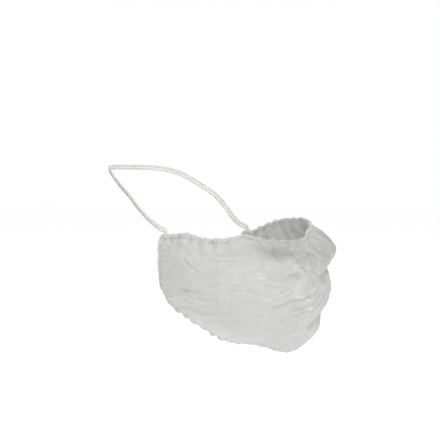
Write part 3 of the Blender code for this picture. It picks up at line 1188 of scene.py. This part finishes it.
@dataclass(frozen=True)
class ChanceCreases:
    """Short creases all over: sizes in mm, their mean slope in radians, spreads in degrees."""

    count: int = 150
    seed: int = 41
    slope: float = 0.12
    jaw_spread: float = 12.0
    chin_spread: float = 60.0
    reach: tuple = (6.0, 24.0)
    width: tuple = (0.9, 1.9)
    lift: tuple = (0.22, 0.70)
    bend: float = 9.0

    def placed(self, round_face: np.ndarray, down: np.ndarray) -> list[PlacedCrease]:
        """Scatter the creases, level at the jaws and every way at the chin."""
        chance = np.random.RandomState(self.seed)
        found = []
        columns, rows = down.shape
        for _ in range(self.count):
            column, row = chance.randint(columns), chance.randint(rows)
            ahead = 1 - abs(2 * column / (columns - 1) - 1)
            spread = math.radians(self.jaw_spread + self.chin_spread * ahead)
            turn = chance.normal(self.slope, spread)
            reach = chance.uniform(*self.reach) * MM
            width = chance.uniform(*self.width) * MM
            lift = chance.choice((-1, 1)) * chance.uniform(*self.lift) * MM
            bend = chance.uniform(-1, 1) * self.bend
            spot = round_face[column, row], down[column, row]
            found.append(PlacedCrease(*spot, turn, reach, width, lift, bend))
        return found


@dataclass(frozen=True)
class Crumple:
    """Crumpled facets: ridges of a warped noise at two sizes, with lifts in mm."""

    seed: int = 41
    warp_rate: float = 55.0
    warp: float = 0.35
    broad_rate: float = 95.0
    broad_middle: float = 0.30
    broad_lift: float = 0.70
    fine_rate: float = 210.0
    fine_middle: float = 0.25
    fine_lift: float = 0.30

    def lift(self, points: np.ndarray) -> np.ndarray:
        """How far the facets stand off the cloth at each point."""
        # The warp starts from the clock unless it has a seed, and would differ each time
        noise.seed_set(self.seed)
        lift = np.empty(points.shape[:2])
        for column, line in enumerate(points):
            for row, spot in enumerate(line):
                place = Vector(spot)
                warp = noise.noise_vector(place * self.warp_rate) * self.warp
                broad = self.broad_middle - abs(noise.noise(place * self.broad_rate + warp))
                fine = self.fine_middle - abs(noise.noise(place * self.fine_rate + warp * 2))
                lift[column, row] = broad * self.broad_lift + fine * self.fine_lift
        return lift * MM


@dataclass
class Pouch:
    """The loose cloth: laid over the form, slackened by a simulation, then crumpled finely."""

    form: WornForm
    finish: bpy.types.Material
    lip_gathers: Gathers
    neck_gathers: Gathers
    columns: int = 156
    rows: int = 62
    sheet_wall: float = 0.00034
    tuck: float = 0.0017
    slack: SlackCloth = SlackCloth()
    slack_limit: float = 0.0036
    broad_columns: int = 11
    broad_rows: int = 5
    taut_start: float = 12.0
    taut_span: float = 22.0
    taut_share: float = 0.965
    taut_calm: float = 0.45
    chance: ChanceCreases = ChanceCreases()
    crumple: Crumple = Crumple()
    upper_steepness: float = 0.62
    rim_calm: float = 0.006
    end_calm: float = 0.035
    end_pleats: int = 13
    end_pleat_lift: float = 0.45
    end_pleat_reach: float = 0.0060
    end_pleat_drift: float = 2.2
    end_pleat_drift_rate: float = 9.0
    ridge_whole: float = 0.00022
    valley_limit: float = -0.6
    rim_density: float = 0.12
    rim_reach: float = 0.005
    ridge_highlight_density: float = 0.75
    loose_right: float = 24.0
    loose_right_fade: float = 20.0
    loose_left: float = -64.0
    loose_left_fade: float = 24.0
    loose_at: float = 0.30
    loose_at_fade: float = 0.25
    loose_above: float = 0.5
    loose_crease_light: float = 0.36
    taut_crease_light: float = 0.30
    uv_corner: tuple = (0.5, 0.05)

    def grid(self) -> np.ndarray:
        """The cloth's points before it slackens, columns first."""
        side = np.linspace(1, -1, self.columns + 1)[:, None]
        at = np.linspace(0, 1, self.rows + 1)[None, :]
        return self.form.surface(side, at)

    def slackened(self, points: np.ndarray) -> np.ndarray:
        """Let the cloth buckle between its fixed edges.

        Args:
            points: the grid.

        Returns:
            The grid after the simulation, no point further than slack_limit from its start.
        """
        moved = self.slack.moves(points)
        moved = moved - self.broad_part(moved)
        size = np.linalg.norm(moved, axis=-1, keepdims=True)
        LOG.info("slack cloth buckled up to %.1f mm", size.max() / MM)
        side = np.linspace(1, -1, len(points))[:, None]
        limit = self.slack_limit * (1 - self.taut_share * self.taut(side)[..., None])
        return points + moved * np.tanh(size / limit) * limit / np.maximum(size, 1e-9)

    def taut(self, side: np.ndarray) -> np.ndarray:
        """1 where the cloth lies tight over the wearer's right cheek and jaw, and 0 ahead."""
        return smooth_step((self.form.azimuth_of(side, 0.5) - self.taut_start) / self.taut_span)

    def broad_part(self, moved: np.ndarray) -> np.ndarray:
        """The part of a movement that swells the whole cloth, as against its buckles."""
        reaches = self.columns // self.broad_columns, self.rows // self.broad_rows
        for axis, reach in enumerate(reaches):
            turned = np.moveaxis(moved, axis, 0)
            flat = soften(turned.reshape(len(turned), -1), reach)
            moved = np.moveaxis(flat.reshape(turned.shape), 0, axis)
        return moved

    def refined(self, points: np.ndarray) -> np.ndarray:
        """Twice as fine a grid, on smooth curves through the old points, in both ways."""
        for axis in (0, 1):
            old = np.moveaxis(points, axis, 0)
            more = np.concatenate([2 * old[:1] - old[1:2], old, 2 * old[-1:] - old[-2:-1]])
            middle = (9 * (more[1:-2] + more[2:-1]) - more[:-3] - more[3:]) / 16
            new = np.empty((2 * len(old) - 1, *old.shape[1:]))
            new[::2] = old
            new[1::2] = middle
            points = np.moveaxis(new, 0, axis)
        return points

    def normals(self, points: np.ndarray) -> np.ndarray:
        """The way out of the cloth at each point of the grid."""
        return unit(np.cross(np.gradient(points, axis=0), np.gradient(points, axis=1)))

    def flat_places(self, points: np.ndarray) -> tuple[np.ndarray, np.ndarray]:
        """Distances round the face and down the cloth, each measured along the grid."""
        round_face = run_length(points)
        round_face = round_face - round_face[len(round_face) // 2]
        down = np.moveaxis(run_length(np.moveaxis(points, 1, 0)), 0, 1)
        return round_face, down

    def crease_lift(
        self, round_face: np.ndarray, down: np.ndarray, creases: list[PlacedCrease]
    ) -> np.ndarray:
        """How far the creases together stand off the cloth, steeper on their lower side."""
        lift = np.zeros(round_face.shape)
        for crease in creases:
            beside, below = round_face - crease.round_face, down - crease.down
            ahead, aside = math.cos(crease.turn), math.sin(crease.turn)
            along = beside * ahead + below * aside
            across = below * ahead - beside * aside + crease.bend * along**2
            steepness = np.where(across > 0, 1.0, self.upper_steepness)
            across = across * steepness / crease.width
            lift += crease.lift * np.exp(-((along / crease.reach) ** 4)) / (1 + across**2) ** 1.5
        return lift

    def seen_creases(
        self, side: np.ndarray, round_face: np.ndarray, down: np.ndarray
    ) -> list[PlacedCrease]:
        """The table's creases as places on this grid."""
        found = []
        shares = np.linspace(0, 1, down.shape[1])
        for crease in SEEN_CREASES:
            column = int(np.abs(side - crease.azimuth / self.form.end_azimuth).argmin())
            row = int(np.abs(shares - crease.height).argmin())
            spot = round_face[column, row], down[column, row]
            sizes = crease.reach * MM, crease.width * MM, crease.lift * MM
            found.append(PlacedCrease(*spot, -math.radians(crease.turn), *sizes, 0.0))
        return found

    def puckers(self, side: np.ndarray, down: np.ndarray) -> np.ndarray:
        """Pleats that run from the elastic into the cloth and die out."""
        turns = {Edge.LIP: self.lip_gathers.turns(side), Edge.NECK: self.neck_gathers.turns(side)}
        from_edge = {Edge.LIP: down, Edge.NECK: down[:, -1:] - down}
        lift = np.zeros(down.shape)
        for pucker in PUCKERS:
            wave = pleat_wave(turns[pucker.edge] / pucker.breadth)
            lift += pucker.depth * wave * np.exp(-from_edge[pucker.edge] / pucker.reach)
        return lift * MM

    def end_puckers(self, round_face: np.ndarray, at: np.ndarray) -> np.ndarray:
        """The same at the two ends, where the hem runs down beside the jaw."""
        left, right = round_face.min(axis=0), round_face.max(axis=0)
        from_end = np.minimum(right - round_face, round_face - left)
        drift = self.end_pleat_drift * np.sin(at * self.end_pleat_drift_rate)
        wave = pleat_wave(at * 2 * np.pi * self.end_pleats + drift)
        return self.end_pleat_lift * MM * wave * np.exp(-from_end / self.end_pleat_reach)

    def tucked(self, points: np.ndarray) -> np.ndarray:
        """Carry every edge on into its hem, so that no gap shows between them."""
        for axis in (0, 1):
            old = np.moveaxis(points, axis, 0)
            first = old[:1] + unit(old[:1] - old[2:3]) * self.tuck
            last = old[-1:] + unit(old[-1:] - old[-3:-2]) * self.tuck
            points = np.moveaxis(np.concatenate([first, old, last]), 0, axis)
        return points

    def build(self) -> bpy.types.Object:
        """Make the pouch.

        Returns:
            The closed thin sheet, with its UV map and the values that its finish reads, among them
            painted shade and painted highlights.
        """
        points = self.grid()
        points = self.slackened(points)
        points = self.refined(points)
        side = np.linspace(1, -1, points.shape[0])[:, None]
        at = np.linspace(0, 1, points.shape[1])[None, :]
        round_face, down = self.flat_places(points)
        rim = np.minimum(down, down[:, -1:] - down)
        calm = smooth_step(rim / self.rim_calm) * smooth_step((1 - np.abs(side)) / self.end_calm)
        seen = self.seen_creases(side[:, 0], round_face, down)
        seen = self.crease_lift(round_face, down, seen)
        lift = self.crease_lift(round_face, down, self.chance.placed(round_face, down))
        lift = (lift + self.crumple.lift(points)) * (1 - self.taut_calm * self.taut(side)) + seen
        lift = lift * calm + self.puckers(side, down) + self.end_puckers(round_face, at)
        points = points - self.normals(points) * lift[..., None]
        azimuth = self.form.azimuth_of(side, at)
        ridge, mark = self.sharpness(lift), self.sharpness(seen)
        loose = self.looseness(azimuth)
        below = smooth_step((at - self.loose_at) / self.loose_at_fade)
        # Painted light on crease ridges and painted shade in their valleys: all creases where the
        # cloth hangs loose, the seen ones where it is taut
        painted_crease_light = self.loose_crease_light * ridge * loose + self.taut_crease_light * mark * (1 - loose)
        shades = {
            # denser near the hems, and a painted highlight on sharp ridges that also makes them a
            # little more opaque
            "density": self.rim_density * np.exp(-rim / self.rim_reach)
            + self.ridge_highlight_density * ridge * calm,
            # painted shade and painted light from the table, with the painted crease light taken off
            "painted_shade": np.clip(self.painted_shades(azimuth, at) - painted_crease_light * calm, -1.0, 1.0),
            "loose": loose * (self.loose_above + (1 - self.loose_above) * below),
        }
        return self.closed_sheet(points, round_face, down, shades)

    def looseness(self, azimuth: np.ndarray) -> np.ndarray:
        """1 where the cloth hangs free at the chin and the left cheek, and 0 at both jaws."""
        right = smooth_step((self.loose_right - azimuth) / self.loose_right_fade)
        left = smooth_step((azimuth - self.loose_left) / self.loose_left_fade)
        return right * left

    def painted_shades(self, azimuth: np.ndarray, at: np.ndarray) -> np.ndarray:
        """How much painted shade, or painted light where negative, the cloth gets at each place, by
        the table of painted shades.
        """
        painted_shade = np.zeros(azimuth.shape)
        for shade in PAINTED_SHADES:
            along = (azimuth - shade.azimuth) / shade.span
            across = (at - shade.height) / shade.width
            painted_shade += shade.depth * np.exp(-(along**2) - across**2)
        return painted_shade

    def sharpness(self, lift: np.ndarray) -> np.ndarray:
        """How sharply each point stands up from its neighbours; 1 is a whole ridge."""
        blurred = soften(lift, 2)
        blurred = soften(blurred.T, 2).T
        return np.clip((lift - blurred) / self.ridge_whole, self.valley_limit, 1.0)

    def closed_sheet(
        self, points: np.ndarray, round_face: np.ndarray, down: np.ndarray, shades: dict
    ) -> bpy.types.Object:
        """Give the grid its thin wall, its UV map and its shades.

        Args:
            points: the finished grid.
            round_face: distances round the face, for the UV map.
            down: distances down the cloth, for the UV map.
            shades: values for the material by attribute name, one for each point.

        Returns:
            The finished piece.
        """
        points = self.tucked(points)
        flat = np.pad(np.stack([round_face, down], axis=-1), ((1, 1), (1, 1), (0, 0)), "edge")
        columns, rows = points.shape[0] - 1, points.shape[1] - 1
        faces = grid_faces(columns, rows)
        mesh = bpy.data.meshes.new("pouch_sheet")
        mesh.from_pydata(points.reshape(-1, 3).tolist(), [], faces.tolist())
        uv = flat.reshape(-1, 2)[faces.ravel()] / CLOTH_SPAN + self.uv_corner
        mesh.uv_layers.new(name="UVMap").data.foreach_set("uv", uv.astype(np.float32).ravel())
        for name, shade in shades.items():
            layer = mesh.attributes.new(name, "FLOAT", "POINT")
            values = np.pad(np.broadcast_to(shade, round_face.shape), 1, "edge")
            layer.data.foreach_set("value", values.astype(np.float32).ravel())
        mesh.materials.append(self.finish)
        guide = in_scene("pouch_sheet", mesh)
        wall = guide.modifiers.new("Wall", "SOLIDIFY")
        wall.thickness = self.sheet_wall
        wall.offset = 0.0
        wall.use_even_offset = False
        return finished_piece("nonwoven_pouch", guide)


class Sway(NamedTuple):
    """A slow wave of a hem's line: its size in mm, its length in pleats and its start."""

    size: float
    pleats: float
    start: float = 0.0


@dataclass
class Hem:
    """A gathered hem: folded cloth drawn up on an elastic thread along one edge."""

    form: WornForm
    edge: Edge
    gathers: Gathers
    finish: bpy.types.Material
    width: float = 0.0036
    thickness: float = 0.0016
    gap: float = 0.0002
    station: float = 0.00030
    inside: float = 0.03
    neck_inside: float = 0.05
    end_start: float = 0.035
    end_stop: float = 0.995
    end_gathers: float = 0.5
    sways_through: tuple = (Sway(0.30, 2.3, 0.6), Sway(0.16, 5.1))
    sways_outwards: tuple = (Sway(0.34, 3.1, 1.1), Sway(0.22, 1.37))

    def edge_run(self) -> tuple[np.ndarray, np.ndarray, np.ndarray]:
        """Follow the cloth's edge.

        Returns:
            Its points, the way out of the cloth in the cloth's own plane at each, and the
            share along the edge that the gathers read.
        """
        if self.edge is Edge.LIP:
            side = np.linspace(1, -1, 1201)
            points = self.form.surface(side, 0.0)
            return points, points - self.form.surface(side, self.inside), side
        down = np.linspace(self.end_start, self.end_stop, 240)
        side = np.linspace(self.end_stop, -self.end_stop, 900)
        near = self.form.surface(1.0, down)
        far = self.form.surface(-1.0, down[::-1])
        under = self.form.surface(side, 1.0)
        ways = (
            near - self.form.surface(1 - self.inside, down),
            under - self.form.surface(side, 1 - self.neck_inside),
            far - self.form.surface(self.inside - 1, down[::-1]),
        )
        near_share = 1 + (1 - down) * self.end_gathers
        points = np.concatenate([near, under, far])
        shares = np.concatenate([near_share, side, -near_share[::-1]])
        return points, np.concatenate([unit(way) for way in ways]), shares

    def path(self) -> tuple[np.ndarray, np.ndarray, np.ndarray]:
        """The hem's middle line, evenly stepped, with the way outwards and its share."""
        points, ways, shares = self.edge_run()
        along = unit(np.gradient(points, axis=0))
        ways = unit(ways - along * (ways * along).sum(axis=-1, keepdims=True))
        ways = unit(soften(ways, 14))
        centres = points + ways * (self.width / 2 + self.gap)
        lengths = run_length(centres)
        wanted = np.arange(0, lengths[-1], self.station)
        table = np.concatenate([centres, ways, shares[:, None]], axis=-1)
        table = resample(table, lengths, wanted)
        centres = soften(table[:, :3], 5)
        return centres, unit(table[:, 3:6]), table[:, 6]

    def sway(self, turn: np.ndarray, waves: tuple) -> np.ndarray:
        """How far the waves carry the hem's line aside at each point."""
        return sum(wave.size * MM * np.sin(turn / wave.pleats + wave.start) for wave in waves)

    def build(self, tree: BandTree) -> bpy.types.Object:
        """Make the hem with the shared band tree."""
        centres, ways, shares = self.path()
        turn = self.gathers.turns(shares)
        along = unit(np.gradient(centres, axis=0))
        thick = np.cross(along, ways)
        centres = centres + thick * self.sway(turn, self.sways_through)[:, None]
        centres = centres + ways * self.sway(turn, self.sways_outwards)[:, None]
        return tree.make(
            f"gathered_{self.edge.value}",
            centres,
            ways,
            turn,
            self.finish,
            sides=20,
            Width=self.width,
            Thickness=self.thickness,
            Rib_Depth=0.00055,
            Rib_Slant=0.9,
            Core_Lift=0.00030,
            Core_Place=0.0007,
            Core_Width=0.0006,
            Lump_Depth=0.00050,
            Lump_Size=0.0034,
            Seed=3.0 if self.edge is Edge.LIP else 8.0,
        )


@dataclass
class HeadElastic:
    """One strand of the elastic that runs from jaw to jaw round the back of the head."""

    form: WornForm
    level: Level
    finish: bpy.types.Material
    width: float = 0.0021
    thickness: float = 0.0017
    gap: float = 0.0007
    clearance: float = 0.0004
    hem_width: float = 0.0036
    lead: float = 4.5
    rise: float = 0.0570
    on_jaw: float = 8.0
    spread: float = 22.0
    turn_length: float = 0.0085
    windings: int = 4
    station: float = 0.00048
    run_in: float = 0.0052
    run_in_share: float = 0.9
    seat: float = 0.0034
    upper_seat_share: float = 1.82
    lower_turn: float = 1.9

    def middle(self, way: np.ndarray) -> np.ndarray:
        """Points of the two strands' middle line, from way 0 at one end to 2 at the other."""
        form = self.form
        first = form.end_azimuth - self.lead
        azimuth = first + (180 - first) * way
        near = np.minimum(way, 2 - way)
        spread = smooth_step(((180 - first) * near - self.on_jaw) / self.spread)
        jaw = form.outline(azimuth, form.jaw_half_width)
        head = form.outline(azimuth, form.head_half_width)
        on_hem = self.hem_width + 2 * self.clearance + self.width + self.gap / 2
        climb = read_table(STRAP_CLIMB, near)
        return form.place(azimuth, jaw + (head - jaw) * spread, on_hem + self.rise * climb.rise)

    def upwards(self, line: np.ndarray) -> np.ndarray:
        """The way up at each point of a line, square to it and along the head's side."""
        across = unit(np.cross(line * (1, 1, 0), unit(np.gradient(line, axis=0))))
        return across * np.where(across[:, 2:] < 0, -1.0, 1.0)

    def path(self) -> tuple[np.ndarray, np.ndarray]:
        """The strand's own line, with its ends run into the lip hem, and its upward side."""
        middle = self.middle(np.linspace(0, 2, 401))
        apart = self.level.value * (self.width + self.gap) / 2
        line = middle + self.upwards(middle) * apart
        lengths = run_length(line)
        wanted = np.arange(0, lengths[-1], self.station)
        line = self.run_into_hem(soften(resample(line, lengths, wanted), 12))
        return line, self.upwards(line)

    def run_into_hem(self, line: np.ndarray) -> np.ndarray:
        """Add a short stretch at each end that runs on and dips into the lip hem."""
        steps = np.arange(1, int(self.run_in / self.station))[:, None] * self.station
        share = steps / self.run_in
        seat = self.seat * (1.0 if self.level is Level.LOWER else self.upper_seat_share)
        dip = seat * smooth_step(share)
        down = np.array((0.0, 0.0, -1.0))
        ahead = steps * self.run_in_share
        start = line[0] + unit(line[0] - line[4]) * ahead + down * dip
        end = line[-1] + unit(line[-1] - line[-5]) * ahead + down * dip
        return np.concatenate([start[::-1], line, end])

    def build(self, tree: BandTree) -> bpy.types.Object:
        """Make the strand with the shared band tree."""
        line, across = self.path()
        turn = 2 * np.pi * run_length(line) / self.turn_length * self.windings
        if self.level is Level.LOWER:
            turn = turn + self.lower_turn
        return tree.make(
            f"head_elastic_{self.level.name.lower()}_strand",
            line,
            across,
            turn,
            self.finish,
            sides=20,
            Width=self.width,
            Thickness=self.thickness,
            Rib_Depth=0.00020,
            Rib_Slant=0.0,
            Ribs_Round=float(self.windings),
            Lump_Depth=0.00010,
            Lump_Size=0.0035,
            Seed=5.0 + self.level.value,
        )


class SoftLight(NamedTuple):
    """A square soft box, aimed at the cover."""

    name: str
    azimuth: float
    elevation: float
    distance: float
    size: float
    watts: float


@dataclass
class Studio:
    """A pale floor, a white surround, soft boxes and the camera."""

    azimuth: float = -52.0
    distance: float = 1.5
    camera_lift: float = 0.0453
    lens: float = 133.4
    aim_right: float = 0.0083
    aim_up: float = 0.0147
    floor_height: float = -0.150
    floor_half: float = 6.0
    floor_shade: float = 0.93
    floor_roughness: float = 0.9
    floor_glow: float = 0.625
    horizon: tuple = (0.10, 0.30)
    surround: float = 0.345
    lights: tuple = (
        SoftLight("key_box", -34.0, 46.0, 1.6, 0.40, 13.9),
        SoftLight("top_box", -60.0, 78.0, 1.5, 0.8, 5.0),
        SoftLight("side_box", -128.0, 22.0, 1.8, 0.8, 2.0),
        SoftLight("back_box", 120.0, 35.0, 1.9, 0.9, 5.0),
    )

    def way(self, azimuth: float, elevation: float = 0.0) -> Vector:
        """The way from the cover towards an azimuth and elevation in degrees."""
        turn, lift = math.radians(azimuth), math.radians(elevation)
        level = math.cos(lift)
        return Vector((math.sin(turn) * level, -math.cos(turn) * level, math.sin(lift)))

    def build_camera(self) -> None:
        """Put the camera at the photograph's angle."""
        data = bpy.data.cameras.new("camera")
        data.lens = self.lens
        data.clip_start = 0.01
        camera = in_scene("camera", data)
        turn = math.radians(self.azimuth)
        right = Vector((math.cos(turn), math.sin(turn), 0.0))
        target = right * self.aim_right + Vector((0.0, 0.0, self.aim_up))
        lifted = Vector((0.0, 0.0, self.camera_lift))
        camera.location = target + self.way(self.azimuth) * self.distance + lifted
        aim = target - camera.location
        camera.rotation_euler = aim.to_track_quat("-Z", "Y").to_euler()
        bpy.context.scene.camera = camera

    def build_lights(self) -> None:
        """Hang the soft boxes and set the white surround."""
        for light in self.lights:
            data = bpy.data.lights.new(light.name, "AREA")
            data.shape = "SQUARE"
            data.size = light.size
            data.energy = light.watts
            box = in_scene(light.name, data)
            way = self.way(light.azimuth, light.elevation)
            box.location = way * light.distance
            box.rotation_euler = (-way).to_track_quat("-Z", "Y").to_euler()
        world = bpy.data.worlds.new("white_surround")
        bench = NodeBench.cleared(world)
        way = bench.add("ShaderNodeTexCoord").outputs["Generated"]
        height = bench.add("ShaderNodeSeparateXYZ", Vector=way).outputs[2]
        glow = bench.mapped(height, Ramp(*self.horizon, 1.0, self.surround))
        sky = bench.add("ShaderNodeBackground", Color=(1.0, 1.0, 1.0), Strength=glow)
        bench.add("ShaderNodeOutputWorld", Surface=sky.outputs[0])
        bpy.context.scene.world = world
        bpy.context.scene.view_settings.view_transform = "Standard"

    def build_floor(self) -> None:
        """Lay the pale floor, which is no part of the object."""
        half = self.floor_half
        corners = [(-half, -half), (half, -half), (half, half), (-half, half)]
        mesh = bpy.data.meshes.new("pale_floor")
        mesh.from_pydata([(x, y, self.floor_height) for x, y in corners], [], [(0, 1, 2, 3)])
        material = bpy.data.materials.new("pale_floor")
        material.use_nodes = True
        shader = material.node_tree.nodes["Principled BSDF"]
        shader.inputs["Roughness"].default_value = self.floor_roughness
        shader.inputs["Base Color"].default_value = (*[self.floor_shade] * 3, 1.0)
        shader.inputs["Emission Color"].default_value = (1.0, 1.0, 1.0, 1.0)
        shader.inputs["Emission Strength"].default_value = self.floor_glow
        mesh.materials.append(material)
        floor = in_scene("pale_floor", mesh)


def enrol(piece: bpy.types.Object, slot: str, *nodes: str) -> None:
    """Tell the frame what a piece rides on and stands for, and report it."""
    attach(piece, BODY)
    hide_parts(*nodes)
    LOG.info("%s: %d faces for %s", piece.name, len(piece.data.polygons), ", ".join(nodes))


def main() -> None:
    """Build the cover, then its studio."""
    logging.basicConfig(level=logging.INFO, format="%(name)s: %(message)s")
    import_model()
    form = WornForm()
    form.fit(*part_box("pouch"))
    cloth, hem_cloth = NonwovenFinish().build(), HemFinish().build()
    elastic = ElasticFinish().build()
    lip_gathers = Gathers(count=78, unevenness=0.085, seed=11)
    neck_gathers = Gathers(count=62, unevenness=0.080, seed=23)
    tree = BandTree()

    pouch = Pouch(form, cloth, lip_gathers, neck_gathers).build()
    enrol(pouch, "white_nonwoven", "pouch")
    for edge, gathers in ((Edge.LIP, lip_gathers), (Edge.NECK, neck_gathers)):
        hem = Hem(form, edge, gathers, hem_cloth).build(tree)
        enrol(hem, "gathered_hem", edge.value)
    for level in Level:
        strand = HeadElastic(form, level, elastic).build(tree)
        enrol(strand, "covered_elastic", f"head_elastic_{level.name.lower()}")
    bpy.data.node_groups.remove(tree.tree)

    studio = Studio()
    studio.build_floor()
    studio.build_lights()
    studio.build_camera()


if __name__ == "__main__":
    main()
